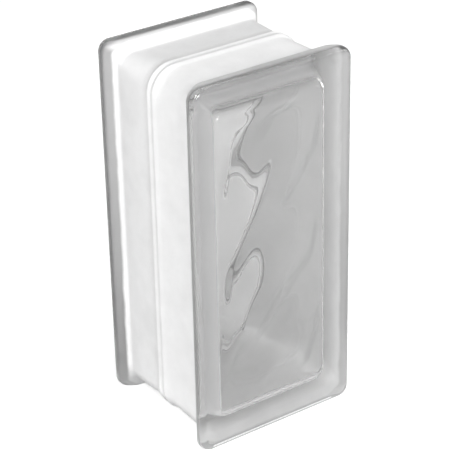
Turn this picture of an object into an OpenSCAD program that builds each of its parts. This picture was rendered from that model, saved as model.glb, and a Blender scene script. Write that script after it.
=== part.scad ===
// Hollow glass building block, half width, pressed in two halves that are
// fused at a seam around the middle.  One solid: a moulded outer body with a
// mortar channel running right around its edges, less one sealed cavity whose
// two end faces carry a soft wave relief.
// Millimetres.  +Z is up, the block stands on its short end, and its two
// panes face -Y and +Y.  The origin is the middle of the bottom.

/* [Block] */
// Height of the block, over the rims
block_h = 190; // [180:1:240]
// Width of the block, over the rims
block_w = 90; // [86:1:140]
// Thickness of the block, from pane to pane
block_d = 80; // [78:1:100]

/* [Rim] */
// Rounding of the outer edge around each pane
edge_r = 2.8; // [1.5:0.1:3.5]
// Flat land of the rim on the two long sides, measured from the pane
side_land = 4.4; // [4:0.1:5.5]
// Flat land of the rim on the two short ends, measured from the pane
end_land = 7.6; // [6.5:0.1:9]
// Rounding where the land turns down into the channel
back_r = 2.2; // [1:0.1:2.5]
// Angle of the slope from the rim down into the channel, in degrees
slope_a = 47; // [40:1:60]
// Corner radius of the rim
rim_corner_r = 6; // [5:0.5:9]

/* [Channel] */
// Depth of the mortar channel below the rim, at the foot of the slope
channel_depth = 5; // [4.5:0.1:6]
// Fillet at the foot of the slope
foot_r = 3; // [2:0.1:4]
// Corner radius of the channel floor, at its foot
channel_corner_r = 7.5; // [7:0.5:9]
// Draft of the floor on the long sides: its rise from the foot to the seam
side_rise = 1.4; // [0:0.1:1.6]
// Draft of the floor on the short ends: its rise from the foot to the seam
end_rise = 2.2; // [0:0.1:2.4]

/* [Seam] */
// Height of the fused seam bead above the drafted floor
seam_rise = 0.45; // [0.2:0.05:1]
// Half width of the seam bead
seam_half_w = 4.8; // [3:0.1:6]
// Corner radius of the seam bead
seam_corner_r = 14; // [10:0.5:18]
// How much less round the bead's corners are than the floor beside it
seam_stand = 2; // [0:0.5:3]
// Depth of the fine groove along the crown of the bead
seam_groove = 0.4; // [0:0.05:0.8]

/* [Cavity] */
// Mean thickness of each pane
pane_t = 7; // [6.5:0.1:9]
// Distance of the cavity from the long sides, at the pane
cav_side = 13.6; // [13:0.1:16]
// Distance of the cavity from the short ends, at the pane
cav_end = 12.4; // [12:0.1:16]
// Draft: how much wider the cavity is at the seam, on each side
cav_draft = 4.2; // [2:0.1:4.4]
// Fillet along the long inner edges of each pane
side_fillet = 1.5; // [0.5:0.1:2.5]
// Fillet along the short inner edges of each pane
end_fillet = 6.6; // [3:0.1:8]
// Corner radius of the cavity
cav_corner_r = 5; // [4:0.5:8]
// Height of the seam's ridge inside the cavity
inner_bead = 0.6; // [0:0.1:1]

/* [Wave relief] */
// Height of the swaying ridges on the pane's inner face
wave_h = 0.8; // [0:0.1:1.6]
// Distance from ridge to ridge
wave_len = 60; // [50:1:80]
// How far a ridge sways to each side
sway = 15; // [0:1:20]
// Length of one sway
sway_len = 124; // [100:1:160]
// Height of the slanting cross waves
cross_h = 0.7; // [0:0.05:1]
// Length of the cross waves
cross_len = 52; // [44:1:80]

/* [Hidden] */

hw = block_w / 2;
hh = block_h / 2;
hd = block_d / 2;

// ---- section of the outer body -------------------------------------------
// s is the distance from the pane, and the result is how far the surface
// lies inside the block's overall box.
slope_start = back_r * sin(slope_a);
slope_d0 = back_r * (1 - cos(slope_a));
slope_d1 = channel_depth - foot_r * (1 - cos(slope_a));
slope_run = (slope_d1 - slope_d0) / tan(slope_a);
foot_start = slope_start + slope_run;
foot_end = foot_start + foot_r * sin(slope_a);
crown = 2.2;
groove_w = 1.3;

function clamp01(t) = max(0, min(1, t));

function rim_drop(t) =
    t <= 0 ? 0
    : t < slope_start ? back_r - sqrt(back_r * back_r - t * t)
    : t < foot_start ? slope_d0 + (t - slope_start) * tan(slope_a)
    : t < foot_end ? channel_depth - foot_r
        + sqrt(foot_r * foot_r - (foot_end - t) * (foot_end - t))
    : channel_depth;

// draft of the channel floor: 0 at its foot, 1 at the seam
function rise(s, land) = clamp01((s - land - foot_end) / (hd - land - foot_end));

// the seam bead: 0 on the channel floor, 1 on its crown
function bead(s) = clamp01((s - hd + seam_half_w) / (seam_half_w - crown));

function groove(s) = seam_groove * exp(-((hd - s) / groove_w) * ((hd - s) / groove_w));

function inset(s, land, lift) =
    s < edge_r ? edge_r - sqrt(edge_r * edge_r - (edge_r - s) * (edge_r - s))
    : rim_drop(s - land) - lift * rise(s, land) - seam_rise * bead(s) + groove(s);

function corner(s) =
    s < edge_r ? rim_corner_r - inset(s, side_land, 0)
    : rim_corner_r
        + (channel_corner_r - rim_corner_r) * rim_drop(s - side_land) / channel_depth
        + (seam_corner_r + seam_stand - channel_corner_r) * rise(s, end_land)
        - seam_stand * bead(s);

// stations along the thickness, from one pane to the seam, in order and with
// none closer together than 0.05 mm
function in_order(v) =
    len(v) < 2 ? v
    : let (p = v[0])
      concat(in_order([for (q = v) if (q < p - 0.05) q]), [p],
             in_order([for (q = v) if (q > p + 0.05) q]));

st_half = in_order(concat(
    [for (i = [0:4]) edge_r * (1 - cos(22.5 * i))],
    [hd, hd - 0.6, hd - 1.2, hd - 1.7, hd - crown, hd - seam_half_w],
    [side_land, side_land + slope_start / 2, side_land + slope_start],
    [end_land, end_land + slope_start / 2, end_land + slope_start],
    [side_land + foot_end, end_land + foot_start,
     end_land + (foot_start + foot_end) / 2, end_land + foot_end]));

arc_n = 6;
ring_n = 4 * (arc_n + 1);

function ring(y, dx, dz, r) = [
    for (k = [0:3])
        for (i = [0:arc_n])
            let (a = 90 * k + 90 * i / arc_n,
                 sx = (k == 0 || k == 3) ? 1 : -1,
                 sz = (k < 2) ? 1 : -1)
            [sx * (hw - dx - r) + r * cos(a), y,
             hh + sz * (hh - dz - r) + r * sin(a)]];

function station(y, s) =
    ring(y, inset(s, side_land, side_rise), inset(s, end_land, end_rise), corner(s));

module outer_body() {
    n = len(st_half);
    rings = concat(
        [for (i = [0:n - 1]) station(st_half[i] - hd, st_half[i])],
        [for (i = [n - 2:-1:0]) station(hd - st_half[i], st_half[i])]);
    m = len(rings);
    pts = [for (q = rings) for (p = q) p];
    walls = [
        for (q = [0:m - 2]) for (i = [0:ring_n - 1])
            let (j = (i + 1) % ring_n, a = q * ring_n, b = (q + 1) * ring_n)
            each [[a + i, a + j, b + j], [a + i, b + j, b + i]]];
    front = [for (i = [ring_n - 1:-1:0]) i];
    back = [for (i = [0:ring_n - 1]) (m - 1) * ring_n + i];
    polyhedron(points = pts, faces = concat([front, back], walls), convexity = 6);
}

// ---- sealed cavity --------------------------------------------------------
// A grid of lines, close together in the corners, whose corner squares are
// drawn into quarter discs so that its border is a rounded rectangle.
cn = 2;
nx = 14 + 2 * cn;
nz = 34 + 2 * cn;

function line_at(i, n, half, r) =
    i <= cn ? -half + r * i / cn
    : i >= n - cn ? half - r * (n - i) / cn
    : -half + r + (2 * half - 2 * r) * (i - cn) / (n - 2 * cn);

function grid_xz(i, j, a, b, r) =
    let (x = line_at(i, nx, a, r), z = line_at(j, nz, b, r),
         p = (abs(x) - (a - r)) / r, q = (abs(z) - (b - r)) / r)
    (p > 0 && q > 0)
        ? [sign(x) * (a - r + r * p * sqrt(1 - q * q / 2)),
           sign(z) * (b - r + r * q * sqrt(1 - p * p / 2))]
        : [x, z];

// Wave relief of a pane, in millimetres towards the cavity: ridges that sway
// from side to side up the pane, crossed by slanting waves.  The two panes
// slant opposite ways, and the relief fades out at the border.
fade = 7;
back_share = 0.6;

function ease(t) = let (c = clamp01(t)) c * c * (3 - 2 * c);

function ridges(x, z, at, phase) =
    let (crest = at + sway * sin(360 * z / sway_len + phase))
    exp(sin(360 * (x - crest) / wave_len + 90) - 1) - 0.45;

function relief(x, z, side) =
    side < 0
        ? wave_h * ridges(x, z, -8, -105)
            + cross_h * sin(360 * (z - 0.9 * x) / cross_len + 30)
        : back_share * (wave_h * ridges(x, z, 12, 60)
            + cross_h * sin(360 * (z + 0.8 * x) / (0.92 * cross_len) + 20));

function faded(x, z, a, b, side) =
    relief(x, z, side) * ease((a - abs(x)) / fade) * ease((b - abs(z)) / fade);

// borders of the cavity: h is the depth below the pane's mean inner face, and
// the result is half width, half height and corner radius
cav_h = hd - pane_t;
bead_w = 0.8;

function fillet(h, r) = h < r ? r - sqrt(r * r - (r - h) * (r - h)) : 0;

function cav_size(h) =
    let (grow = cav_draft * h / cav_h
             - inner_bead * exp(-((cav_h - h) / bead_w) * ((cav_h - h) / bead_w)),
         fs = fillet(h, side_fillet), fe = fillet(h, end_fillet))
    [hw - cav_side + grow - fs, hh - cav_end + grow - fe, cav_corner_r - 0.8 * fs];

cav_half = concat(
    [for (i = [0:2]) side_fillet * (1 - cos(45 * i))],
    [for (i = [1:3]) side_fillet + (end_fillet - side_fillet) * i / 3],
    [cav_h - 1.6, cav_h - 0.6, cav_h]);

function border(m) =
    m < nx ? [m, 0]
    : m < nx + nz ? [nx, m - nx]
    : m < 2 * nx + nz ? [nx - (m - nx - nz), nz]
    : [0, nz - (m - 2 * nx - nz)];

module cavity() {
    bn = 2 * (nx + nz);
    s0 = cav_size(0);
    k = len(cav_half);
    mid = concat(
        [for (i = [1:k - 1]) [pane_t + cav_half[i] - hd, cav_size(cav_half[i])]],
        [for (i = [k - 2:-1:1]) [hd - pane_t - cav_half[i], cav_size(cav_half[i])]]);
    gn = (nx + 1) * (nz + 1);
    face_pts = [
        for (side = [-1, 1]) for (i = [0:nx]) for (j = [0:nz])
            let (g = grid_xz(i, j, s0[0], s0[1], s0[2]))
            [g[0],
             side * (hd - pane_t - faded(g[0], g[1], s0[0], s0[1], side)),
             hh + g[1]]];
    ring_pts = [
        for (q = mid) for (m = [0:bn - 1])
            let (e = border(m), g = grid_xz(e[0], e[1], q[1][0], q[1][1], q[1][2]))
            [g[0], q[0], hh + g[1]]];
    rows = concat(
        [[for (m = [0:bn - 1]) let (e = border(m)) e[0] * (nz + 1) + e[1]]],
        [for (q = [0:len(mid) - 1]) [for (m = [0:bn - 1]) 2 * gn + q * bn + m]],
        [[for (m = [0:bn - 1]) let (e = border(m)) gn + e[0] * (nz + 1) + e[1]]]);
    front = [
        for (i = [0:nx - 1]) for (j = [0:nz - 1])
            let (a = i * (nz + 1) + j, b = a + nz + 1)
            each [[a, a + 1, b + 1], [a, b + 1, b]]];
    back = [
        for (i = [0:nx - 1]) for (j = [0:nz - 1])
            let (a = gn + i * (nz + 1) + j, b = a + nz + 1)
            each [[a, b, b + 1], [a, b + 1, a + 1]]];
    walls = [
        for (q = [0:len(rows) - 2]) for (m = [0:bn - 1])
            let (n = (m + 1) % bn)
            each [[rows[q][m], rows[q][n], rows[q + 1][n]],
                  [rows[q][m], rows[q + 1][n], rows[q + 1][m]]]];
    polyhedron(points = concat(face_pts, ring_pts),
               faces = concat(front, back, walls), convexity = 8);
}

// The whole block: pressed glass, with its channel faces coated white.
module glass_block() {
    color([0.80, 0.82, 0.82, 0.6])
    difference() {
        outer_body();
        cavity();
    }
}

glass_block();
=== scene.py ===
import math

import bpy
import numpy as np
from mathutils import Matrix, Vector


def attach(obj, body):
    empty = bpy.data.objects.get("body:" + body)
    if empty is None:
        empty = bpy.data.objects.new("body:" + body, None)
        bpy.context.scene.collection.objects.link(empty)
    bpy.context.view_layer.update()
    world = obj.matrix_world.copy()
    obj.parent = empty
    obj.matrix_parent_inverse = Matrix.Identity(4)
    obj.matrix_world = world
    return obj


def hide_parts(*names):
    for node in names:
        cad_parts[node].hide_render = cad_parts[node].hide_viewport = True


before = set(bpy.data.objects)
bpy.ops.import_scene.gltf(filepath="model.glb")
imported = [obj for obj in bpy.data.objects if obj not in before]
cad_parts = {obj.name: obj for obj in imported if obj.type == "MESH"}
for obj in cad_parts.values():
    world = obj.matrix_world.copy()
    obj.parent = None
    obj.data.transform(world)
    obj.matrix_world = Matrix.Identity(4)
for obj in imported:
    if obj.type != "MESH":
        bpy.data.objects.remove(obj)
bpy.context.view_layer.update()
scene = bpy.context.scene
MM = 0.001


# ---------------------------------------------------------------- dimensions
# The same section as the construction, in millimetres.
BLOCK_H, BLOCK_W, BLOCK_D = 190.0, 90.0, 80.0
EDGE_R, SIDE_LAND, END_LAND, BACK_R = 2.8, 4.4, 7.6, 2.2
SLOPE_A, RIM_CORNER_R = math.radians(47.0), 6.0
CHANNEL_DEPTH, FOOT_R, CHANNEL_CORNER_R = 5.0, 3.0, 7.5
SIDE_RISE, END_RISE = 1.4, 2.2
SEAM_RISE, SEAM_HALF_W, SEAM_CROWN, SEAM_CORNER_R = 0.45, 4.8, 2.2, 14.0
SEAM_GROOVE, SEAM_GROOVE_W = 0.4, 1.3
SEAM_STAND = 2.0  # how much less round the bead's corners are than the floor beside it
PANE_T, CAV_SIDE, CAV_END, CAV_DRAFT = 7.0, 13.6, 12.4, 4.2
SIDE_FILLET, END_FILLET, CAV_CORNER_R = 1.5, 6.6, 5.0
INNER_BEAD, INNER_BEAD_W = 0.6, 0.8
WAVE_H, WAVE_LEN, SWAY, SWAY_LEN = 0.8, 60.0, 15.0, 124.0
CROSS_H, CROSS_LEN, FADE, BACK_SHARE = 0.7, 52.0, 7.0, 0.6
HW, HH, HD = BLOCK_W / 2, BLOCK_H / 2, BLOCK_D / 2

SLOPE_START = BACK_R * math.sin(SLOPE_A)
SLOPE_D0 = BACK_R * (1 - math.cos(SLOPE_A))
SLOPE_D1 = CHANNEL_DEPTH - FOOT_R * (1 - math.cos(SLOPE_A))
FOOT_START = SLOPE_START + (SLOPE_D1 - SLOPE_D0) / math.tan(SLOPE_A)
FOOT_END = FOOT_START + FOOT_R * math.sin(SLOPE_A)


def rim_drop(t):
    if t <= 0:
        return 0.0
    if t < SLOPE_START:
        return BACK_R - math.sqrt(BACK_R ** 2 - t * t)
    if t < FOOT_START:
        return SLOPE_D0 + (t - SLOPE_START) * math.tan(SLOPE_A)
    if t < FOOT_END:
        return CHANNEL_DEPTH - FOOT_R + math.sqrt(FOOT_R ** 2 - (FOOT_END - t) ** 2)
    return CHANNEL_DEPTH


def rise(s, land):
    """The channel floor's draft: 0 at its foot, 1 at the seam."""
    foot = land + FOOT_END
    return max(0.0, min(1.0, (s - foot) / (HD - foot)))


def bead(s):
    """The fused seam's bead: 0 on the channel floor, 1 at the seam."""
    return max(0.0, min(1.0, (s - HD + SEAM_HALF_W) / (SEAM_HALF_W - SEAM_CROWN)))


def inset(s, land, lift):
    if s < EDGE_R:
        return EDGE_R - math.sqrt(max(0.0, EDGE_R ** 2 - (EDGE_R - s) ** 2))
    groove = SEAM_GROOVE * math.exp(-((HD - s) / SEAM_GROOVE_W) ** 2)
    return rim_drop(s - land) - lift * rise(s, land) - SEAM_RISE * bead(s) + groove


def corner(s):
    if s < EDGE_R:
        return RIM_CORNER_R - inset(s, SIDE_LAND, 0.0)
    return (RIM_CORNER_R
            + (CHANNEL_CORNER_R - RIM_CORNER_R) * rim_drop(s - SIDE_LAND) / CHANNEL_DEPTH
            + (SEAM_CORNER_R + SEAM_STAND - CHANNEL_CORNER_R) * rise(s, END_LAND)
            - SEAM_STAND * bead(s))


# ---------------------------------------------------------------- the mesh
verts, faces, mats = [], [], []
GLASS, COAT = 0, 1


def add_grid(rows, closed, mat_of, flip):
    """Faces between neighbouring rows of vertex numbers."""
    for a, (r0, r1) in enumerate(zip(rows, rows[1:])):
        n = len(r0)
        for i in range(n if closed else n - 1):
            j = (i + 1) % n
            q = [r0[i], r0[j], r1[j], r1[i]]
            faces.append(q[::-1] if flip else q)
            mats.append(mat_of(a, i))


# outer body: rings of points around the block, stacked through its thickness
ARC, LONG, SHORT = 12, 36, 16


def outline(hx, hz, r):
    """Points of a rounded rectangle, anticlockwise as the front shows it."""
    pts = []
    for k in range(4):
        sx = 1 if k in (0, 3) else -1
        sz = 1 if k < 2 else -1
        cx, cz = sx * (hx - r), sz * (hz - r)
        for i in range(ARC + 1):
            a = math.pi / 2 * (k + i / ARC)
            pts.append((cx + r * math.cos(a), cz + r * math.sin(a)))
        k2 = (k + 1) % 4
        nx_, nz_ = (1 if k2 in (0, 3) else -1) * (hx - r), (1 if k2 < 2 else -1) * (hz - r)
        a = math.pi / 2 * (k + 1)
        end = (nx_ + r * math.cos(a), nz_ + r * math.sin(a))
        start = pts[-1]
        m = SHORT if k in (0, 2) else LONG
        for i in range(1, m):
            t = i / m
            pts.append((start[0] + (end[0] - start[0]) * t, start[1] + (end[1] - start[1]) * t))
    return pts


def span(a, b, n):
    return [a + (b - a) * i / n for i in range(n)]


half = ([EDGE_R * (1 - math.cos(math.pi / 2 * i / 12)) for i in range(12)]
        + span(EDGE_R, SIDE_LAND, 2) + span(SIDE_LAND, SIDE_LAND + SLOPE_START, 5)
        + span(SIDE_LAND + SLOPE_START, END_LAND, 4) + span(END_LAND, END_LAND + SLOPE_START, 5)
        + span(END_LAND + SLOPE_START, END_LAND + FOOT_END, 9)
        + span(END_LAND + FOOT_END, HD - SEAM_HALF_W, 6)
        + span(HD - SEAM_HALF_W, HD - SEAM_CROWN, 6) + span(HD - SEAM_CROWN, HD, 10) + [HD])
stations = [(s - HD, s) for s in half] + [(HD - s, s) for s in half[::-1][1:]]

SIDE_COAT, END_COAT = (7.8, 9.2), (8.6, 9.8)  # where the coat begins, from the pane
THIN_COAT, THIN_BACK = (3.4, 5.6), 2.4
PAINT_FROM = EDGE_R
rows = []
for y, s in stations:
    ring = outline(HW - inset(s, SIDE_LAND, SIDE_RISE), HH - inset(s, END_LAND, END_RISE), corner(s))
    rows.append(list(range(len(verts), len(verts) + len(ring))))
    verts += [(x, y, HH + z) for x, z in ring]


def outer_mat(a, i):
    s = (stations[a][1] + stations[a + 1][1]) / 2
    return COAT if s > PAINT_FROM else GLASS


add_grid(rows, True, outer_mat, True)
# the two panes: a narrow border strip, then one flat face
for end, y in ((0, -HD), (-1, HD)):
    base = rows[end]
    ring = outline(HW - EDGE_R - 0.4, HH - EDGE_R - 0.4, RIM_CORNER_R - EDGE_R - 0.4)
    new = list(range(len(verts), len(verts) + len(ring)))
    verts += [(x, y, HH + z) for x, z in ring]
    add_grid([new, base], True, lambda a, i: GLASS, end == 0)
    faces.append(new if end == 0 else new[::-1])
    mats.append(GLASS)

# sealed cavity: a grid whose corner squares are drawn into quarter discs
CN, NX, NZ = 5, 70, 170


def line_at(i, n, h, r):
    if i <= CN:
        return -h + r * i / CN
    if i >= n - CN:
        return h - r * (n - i) / CN
    return -h + r + (2 * h - 2 * r) * (i - CN) / (n - 2 * CN)


def grid_xz(i, j, a, b, r):
    x, z = line_at(i, NX, a, r), line_at(j, NZ, b, r)
    p, q = (abs(x) - (a - r)) / r, (abs(z) - (b - r)) / r
    if p > 0 and q > 0:
        return (math.copysign(a - r + r * p * math.sqrt(max(0, 1 - q * q / 2)), x),
                math.copysign(b - r + r * q * math.sqrt(max(0, 1 - p * p / 2)), z))
    return x, z


def ease(t):
    c = max(0.0, min(1.0, t))
    return c * c * (3 - 2 * c)


def sd(deg):
    return math.sin(math.radians(deg))


def ridges(x, z, at, phase):
    """Sinuous ridges: a crest that sways from side to side up the pane."""
    crest = at + SWAY * sd(360 * z / SWAY_LEN + phase)
    return math.exp(sd(360 * (x - crest) / WAVE_LEN + 90) - 1) - 0.45


def relief(x, z, side):
    if side < 0:
        return (WAVE_H * ridges(x, z, -8, -105)
                + CROSS_H * sd(360 * (z - 0.9 * x) / CROSS_LEN + 30))
    return BACK_SHARE * (WAVE_H * ridges(x, z, 12, 60)
                         + CROSS_H * sd(360 * (z + 0.8 * x) / (0.92 * CROSS_LEN) + 20))


FINE_H, FINE_LEN = 0.16, 18.0


def fine_relief(x, z, side):
    """The pressed glass's own fine waviness, too small for the construction."""
    slant = -0.5 if side < 0 else --0.4
    bend = 40 * sd(360 * (z + side * 0.5 * x) / 71) + 35 * sd(360 * (x - 0.3 * z) / 43 + 50)
    patch = 0.55 + 0.45 * sd(360 * (z + 1.3 * x) / 83 + 140 * side)
    return FINE_H * patch * sd(360 * (x + slant * z) / FINE_LEN + bend)


def faded(x, z, a, b, side):
    return (relief(x, z, side) + fine_relief(x, z, side)) * ease((a - abs(x)) / FADE) * ease((b - abs(z)) / FADE)


def fillet(h, r):
    """How far the cavity's border lies inside its full size at depth h."""
    return r - math.sqrt(max(0.0, r * r - (r - h) ** 2)) if h < r else 0.0


# depth below the pane's inner face, from the pane to the seam
cav = ([SIDE_FILLET * (1 - math.cos(math.pi / 2 * i / 6)) for i in range(6)]
       + [SIDE_FILLET + (END_FILLET - SIDE_FILLET) * i / 8 for i in range(8)]
       + [END_FILLET + (HD - PANE_T - 4.0 - END_FILLET) * i / 6 for i in range(6)]
       + [HD - PANE_T - 4.0 + 4.0 * i / 10 for i in range(11)])


def cav_size(h):
    grow = CAV_DRAFT * h / (HD - PANE_T)
    grow -= INNER_BEAD * math.exp(-((HD - PANE_T - h) / INNER_BEAD_W) ** 2)
    fs, fe = fillet(h, SIDE_FILLET), fillet(h, END_FILLET)
    return HW - CAV_SIDE + grow - fs, HH - CAV_END + grow - fe, CAV_CORNER_R - fs * 0.8


def border():
    return ([(m, 0) for m in range(NX)] + [(NX, m) for m in range(NZ)]
            + [(NX - m, NZ) for m in range(NX)] + [(0, NZ - m) for m in range(NZ)])


edge = border()
a0, b0, r0 = cav_size(0.0)
grids = {}
for side in (-1, 1):
    g = {}
    for i in range(NX + 1):
        for j in range(NZ + 1):
            x, z = grid_xz(i, j, a0, b0, r0)
            g[i, j] = len(verts)
            verts.append((x, side * (HD - PANE_T - faded(x, z, a0, b0, side)), HH + z))
    grids[side] = g
    add_grid([[g[i, j] for i in range(NX + 1)] for j in range(NZ + 1)], False,
             lambda a, i: GLASS, side < 0)
cav_rows = [[grids[-1][e] for e in edge]]
steps = ([(PANE_T + h - HD, h) for h in cav[1:]]
         + [(HD - PANE_T - h, h) for h in cav[::-1][1:-1]])
for y, h in steps:
    a, b, r = cav_size(h)
    cav_rows.append(list(range(len(verts), len(verts) + len(edge))))
    verts += [(x, y, HH + z) for x, z in (grid_xz(i, j, a, b, r) for i, j in edge)]
cav_rows.append([grids[1][e] for e in edge])
add_grid(cav_rows, True, lambda a, i: GLASS, False)

me = bpy.data.meshes.new("glass_block_body")
me.from_pydata([(x * MM, y * MM, z * MM) for x, y, z in verts], [], faces)
me.update()
block = bpy.data.objects.new("glass_block_body", me)
scene.collection.objects.link(block)
me.polygons.foreach_set("use_smooth", [True] * len(me.polygons))
me.polygons.foreach_set("material_index", mats)


# ---------------------------------------------------------------- materials
def new_mat(name):
    m = bpy.data.materials.new(name)
    m.use_nodes = True
    nt = m.node_tree
    nt.nodes.clear()
    out = nt.nodes.new("ShaderNodeOutputMaterial")
    bsdf = nt.nodes.new("ShaderNodeBsdfPrincipled")
    nt.links.new(bsdf.outputs["BSDF"], out.inputs["Surface"])
    return m, nt, bsdf, out


def node(nt, kind, **values):
    n = nt.nodes.new(kind)
    for k, v in values.items():
        if k in n.inputs:
            n.inputs[k].default_value = v
        else:
            setattr(n, k, v)
    return n


def link(nt, a, b):
    nt.links.new(a, b)


def math_node(nt, op, a, b=None):
    n = nt.nodes.new("ShaderNodeMath")
    n.operation = op
    for k, v in enumerate((a, b)):
        if v is None:
            continue
        if isinstance(v, (int, float)):
            n.inputs[k].default_value = v
        else:
            nt.links.new(v, n.inputs[k])
    return n.outputs[0]


ABSORB = 14.0  # share of light lost per metre of glass, as an exponent


def through_glass(nt, shader, out):
    """Darkens what is met from inside the glass by the length of glass crossed."""
    path = nt.nodes.new("ShaderNodeLightPath")
    geo = nt.nodes.new("ShaderNodeNewGeometry")
    length = math_node(nt, "MULTIPLY", path.outputs["Ray Length"], geo.outputs["Backfacing"])
    left = math_node(nt, "EXPONENT", math_node(nt, "MULTIPLY", length, -ABSORB))
    lost = math_node(nt, "SUBTRACT", 1.0, left)
    mix = nt.nodes.new("ShaderNodeMixShader")
    nt.links.new(lost, mix.inputs[0])
    nt.links.new(shader, mix.inputs[1])
    nt.links.new(mix.outputs["Shader"], out.inputs["Surface"])


def glass_bsdf(nt, b):
    b.inputs["Base Color"].default_value = (0.80, 0.80, 0.80, 1)
    b.inputs["Roughness"].default_value = 0.0
    b.inputs["IOR"].default_value = 1.52
    b.inputs["Transmission Weight"].default_value = 1.0
    pos = node(nt, "ShaderNodeTexCoord")
    wob = node(nt, "ShaderNodeTexNoise", Scale=45.0, Detail=2.0, Roughness=0.5)
    bump = node(nt, "ShaderNodeBump", Strength=0.06, Distance=0.0006)
    nt.links.new(pos.outputs["Object"], wob.inputs["Vector"])
    nt.links.new(wob.outputs["Fac"], bump.inputs["Height"])
    nt.links.new(bump.outputs["Normal"], b.inputs["Normal"])


glass, nt, b, out = new_mat("pressed_glass")
glass_bsdf(nt, b)
through_glass(nt, b.outputs["BSDF"], out)

coat, nt, b, out = new_mat("white_edge_coat")
geo = node(nt, "ShaderNodeTexCoord")
mott = node(nt, "ShaderNodeTexNoise", Scale=60.0, Detail=5.0, Roughness=0.6)
ramp = node(nt, "ShaderNodeValToRGB")
ramp.color_ramp.elements[0].position = 0.3
ramp.color_ramp.elements[0].color = (0.88, 0.88, 0.88, 1)
ramp.color_ramp.elements[1].position = 0.7
ramp.color_ramp.elements[1].color = (0.96, 0.96, 0.96, 1)
fine = node(nt, "ShaderNodeTexNoise", Scale=700.0, Detail=3.0, Roughness=0.6)
bump = node(nt, "ShaderNodeBump", Strength=0.25, Distance=0.0003)
nt.links.new(geo.outputs["Object"], mott.inputs["Vector"])
nt.links.new(geo.outputs["Object"], fine.inputs["Vector"])
nt.links.new(mott.outputs["Fac"], ramp.inputs["Fac"])
nt.links.new(ramp.outputs["Color"], b.inputs["Base Color"])
nt.links.new(fine.outputs["Fac"], bump.inputs["Height"])
nt.links.new(bump.outputs["Normal"], b.inputs["Normal"])
b.inputs["Roughness"].default_value = 0.42
thin = node(nt, "ShaderNodeBsdfTranslucent")
nt.links.new(ramp.outputs["Color"], thin.inputs["Color"])
mix = node(nt, "ShaderNodeMixShader")
nt.links.new(b.outputs["BSDF"], mix.inputs[1])
nt.links.new(thin.outputs["BSDF"], mix.inputs[2])
# the coat's edge fades out over the slope, a little unevenly, and on the lands
# of the short ends a thin wipe of it reaches nearer to the pane
dimmed_bare_glass = nt.nodes.new("ShaderNodeBsdfPrincipled")
glass_bsdf(nt, dimmed_bare_glass)
# painted shade: the bare rim glass is tinted darker than the panes (0.40 against 0.80), standing in for the
# light lost along the long paths through the rim
dimmed_bare_glass.inputs["Base Color"].default_value = (0.40, 0.40, 0.40, 1)
dimmed_bare_glass.inputs["Roughness"].default_value = 0.38
sep = node(nt, "ShaderNodeSeparateXYZ")
nt.links.new(geo.outputs["Object"], sep.inputs["Vector"])
depth = math_node(nt, "SUBTRACT", HD * MM, math_node(nt, "ABSOLUTE", sep.outputs["Y"]))
rag = node(nt, "ShaderNodeTexNoise", Scale=90.0, Detail=3.0, Roughness=0.5)
nt.links.new(geo.outputs["Object"], rag.inputs["Vector"])
wander = math_node(nt, "MULTIPLY", math_node(nt, "SUBTRACT", rag.outputs["Fac"], 0.5), 0.0013)
reach = math_node(nt, "ADD", depth, wander)


def smooth_range(value, lo, hi, first=0.0, last=1.0):
    n = nt.nodes.new("ShaderNodeMapRange")
    n.interpolation_type = "SMOOTHSTEP"
    for name, number in (("From Min", lo), ("From Max", hi), ("To Min", first), ("To Max", last)):
        n.inputs[name].default_value = number
    nt.links.new(value, n.inputs["Value"])
    return n.outputs["Result"]


off_middle = math_node(nt, "ABSOLUTE", math_node(nt, "SUBTRACT", sep.outputs["Z"], HH * MM))
at_end = smooth_range(off_middle, (HH - 5.5) * MM, (HH - 2.0) * MM)
# painted light and shade: the coat lets much more light through near the bottom end and a little less near the
# top end, which lightens the inside of the bottom, lightens the outside of the top and darkens the inside of the
# top
below = smooth_range(sep.outputs["Z"], 6.0 * MM, 16.0 * MM, 0.36, 0.0)
above = smooth_range(sep.outputs["Z"], (BLOCK_H - 16.0) * MM, (BLOCK_H - 6.0) * MM, 0.47, 0.40)
nt.links.new(math_node(nt, "ADD", below, above), mix.inputs[0])
on_side = math_node(nt, "MULTIPLY", smooth_range(reach, SIDE_COAT[0] * MM, SIDE_COAT[1] * MM),
                    math_node(nt, "SUBTRACT", 1.0, at_end))
on_end = math_node(nt, "MULTIPLY", smooth_range(reach, END_COAT[0] * MM, END_COAT[1] * MM), at_end)
at_back = math_node(nt, "MULTIPLY", math_node(nt, "GREATER_THAN", sep.outputs["Y"], 0.0), THIN_BACK * MM)
wipe = smooth_range(math_node(nt, "SUBTRACT", reach, at_back), THIN_COAT[0] * MM, THIN_COAT[1] * MM)
patchy = node(nt, "ShaderNodeTexNoise", Scale=22.0, Detail=2.0, Roughness=0.5)
nt.links.new(geo.outputs["Object"], patchy.inputs["Vector"])
wipe = math_node(nt, "MULTIPLY", wipe, math_node(nt, "MULTIPLY", patchy.outputs["Fac"], at_end))
cover = math_node(nt, "MAXIMUM", math_node(nt, "ADD", on_side, on_end), wipe)
edge_mix = node(nt, "ShaderNodeMixShader")
nt.links.new(cover, edge_mix.inputs[0])
nt.links.new(dimmed_bare_glass.outputs["BSDF"], edge_mix.inputs[1])
nt.links.new(mix.outputs["Shader"], edge_mix.inputs[2])
through_glass(nt, edge_mix.outputs["Shader"], out)

me.materials.append(glass)
me.materials.append(coat)
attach(block, "root")
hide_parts("glass_block")

# ---------------------------------------------------------------- stage
fm = bpy.data.meshes.new("floor")
fm.from_pydata([(-8, -8, 0), (8, -8, 0), (8, 8, 0), (-8, 8, 0)], [], [(0, 1, 2, 3)])
floor = bpy.data.objects.new("floor", fm)
scene.collection.objects.link(floor)
m, nt, b, out = new_mat("pale_floor")
b.inputs["Base Color"].default_value = (0.70, 0.70, 0.70, 1)
b.inputs["Roughness"].default_value = 0.9
b.inputs["Emission Color"].default_value = (1, 1, 1, 1)
b.inputs["Emission Strength"].default_value = 0.43
fm.materials.append(m)

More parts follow.
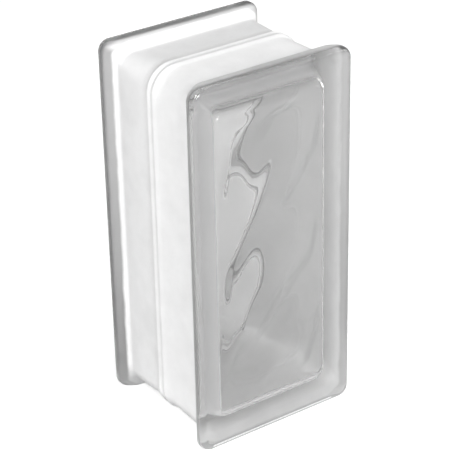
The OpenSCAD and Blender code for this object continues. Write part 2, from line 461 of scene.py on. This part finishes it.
HORIZON, ZENITH = 0.64, 0.22  # a white surround, dimmer overhead
world = bpy.data.worlds.new("studio")
scene.world = world
world.use_nodes = True
bg = world.node_tree.nodes["Background"]
bg.inputs["Color"].default_value = (1, 1, 1, 1)
sky = node(world.node_tree, "ShaderNodeTexCoord")
height = node(world.node_tree, "ShaderNodeSeparateXYZ")
fall = node(world.node_tree, "ShaderNodeMapRange", interpolation_type="SMOOTHSTEP")
for name, value in (("From Min", 0.2), ("From Max", 0.75), ("To Min", HORIZON), ("To Max", ZENITH)):
    fall.inputs[name].default_value = value
world.node_tree.links.new(sky.outputs["Generated"], height.inputs["Vector"])
world.node_tree.links.new(height.outputs["Z"], fall.inputs["Value"])
world.node_tree.links.new(fall.outputs["Result"], bg.inputs["Strength"])


def area(name, loc, target, size, power):
    l = bpy.data.lights.new(name, "AREA")
    l.shape = "RECTANGLE"
    l.size, l.size_y = size
    l.energy = power
    o = bpy.data.objects.new(name, l)
    scene.collection.objects.link(o)
    o.location = loc
    o.rotation_euler = (Vector(target) - Vector(loc)).to_track_quat("-Z", "Y").to_euler()
    return o


def around(left, height, reach=1.4):
    """A place on a circle about the block: degrees left of its front, degrees up."""
    a, e = math.radians(left), math.radians(height)
    return (-reach * math.sin(a) * math.cos(e), -reach * math.cos(a) * math.cos(e),
            0.09 + reach * math.sin(e))


for name, place, width, power in (("key", around(40, 36, 3.0), 1.05, 77.0),
                                  ("front", around(8, 22), 0.6, 15.0),
                                  ("right", around(-60, 26), 0.7, 7.6),
                                  ("top", around(28, 64), 0.8, 2.2)):
    area(name, place, (0, 0, 0.09), (width, width), power)

# ---------------------------------------------------------------- camera
cam = bpy.data.cameras.new("camera")
cam.sensor_fit = "HORIZONTAL"
cam.sensor_width = 36.0
cam.lens = 36.0 * 1847.5 / 449.0
cam.clip_start = 0.01
cam_ob = bpy.data.objects.new("camera", cam)
scene.collection.objects.link(cam_ob)
right = Vector((0.81507663, -0.57899006, -0.02050856))
up = Vector((0.28325672, 0.36737698, 0.88588926))
fwd = Vector((0.5053867, 0.72787682, -0.46344321))
rot = Matrix((right, up, -fwd)).transposed()
cam_ob.matrix_world = Matrix.Translation(Vector((-0.45594, -0.65418, 0.51178))) @ rot.to_4x4()
scene.camera = cam_ob

scene.view_settings.view_transform = "Standard"
scene.cycles.max_bounces = 28
scene.cycles.transmission_bounces = 28
scene.cycles.glossy_bounces = 12
scene.cycles.diffuse_bounces = 12
scene.cycles.use_denoising = True
